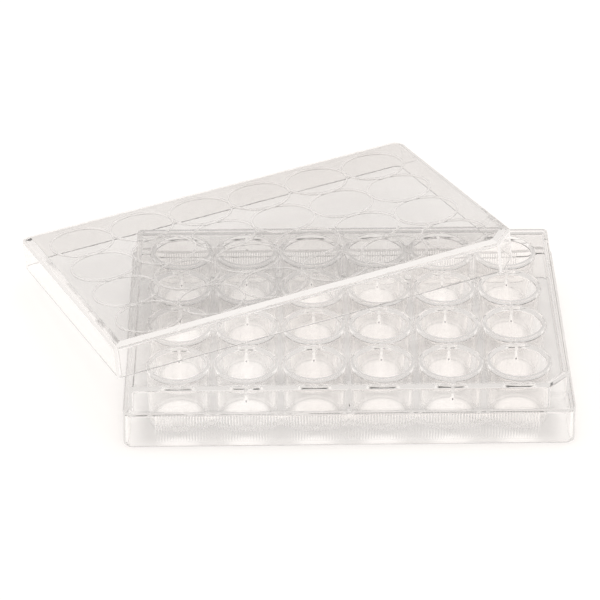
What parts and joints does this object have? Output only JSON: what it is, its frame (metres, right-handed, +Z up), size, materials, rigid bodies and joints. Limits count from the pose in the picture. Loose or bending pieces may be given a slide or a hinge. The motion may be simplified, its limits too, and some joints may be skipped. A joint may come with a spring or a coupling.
{
  "type": "well plate with lid",
  "caption": "Clear rectangular culture plate with round flat-bottomed wells, its loose ringed lid lying askew on top.",
  "frame": {"origin": "under the middle of the box round the plate and the askew lid, at the level of the table", "axes": "+Z up, +X along the plate's long side, -Y towards the front long side with the cut corner at its right"},
  "size_m": [0.1608, 0.1332, 0.0331],
  "materials": {
    "plate_plastic": "clear polished polystyrene",
    "lid_plastic": "clear polished polystyrene"
  },
  "bodies": {
    "root": {"well_plate": "plate_plastic", "lid": "lid_plastic"}
  },
  "joints": []
}
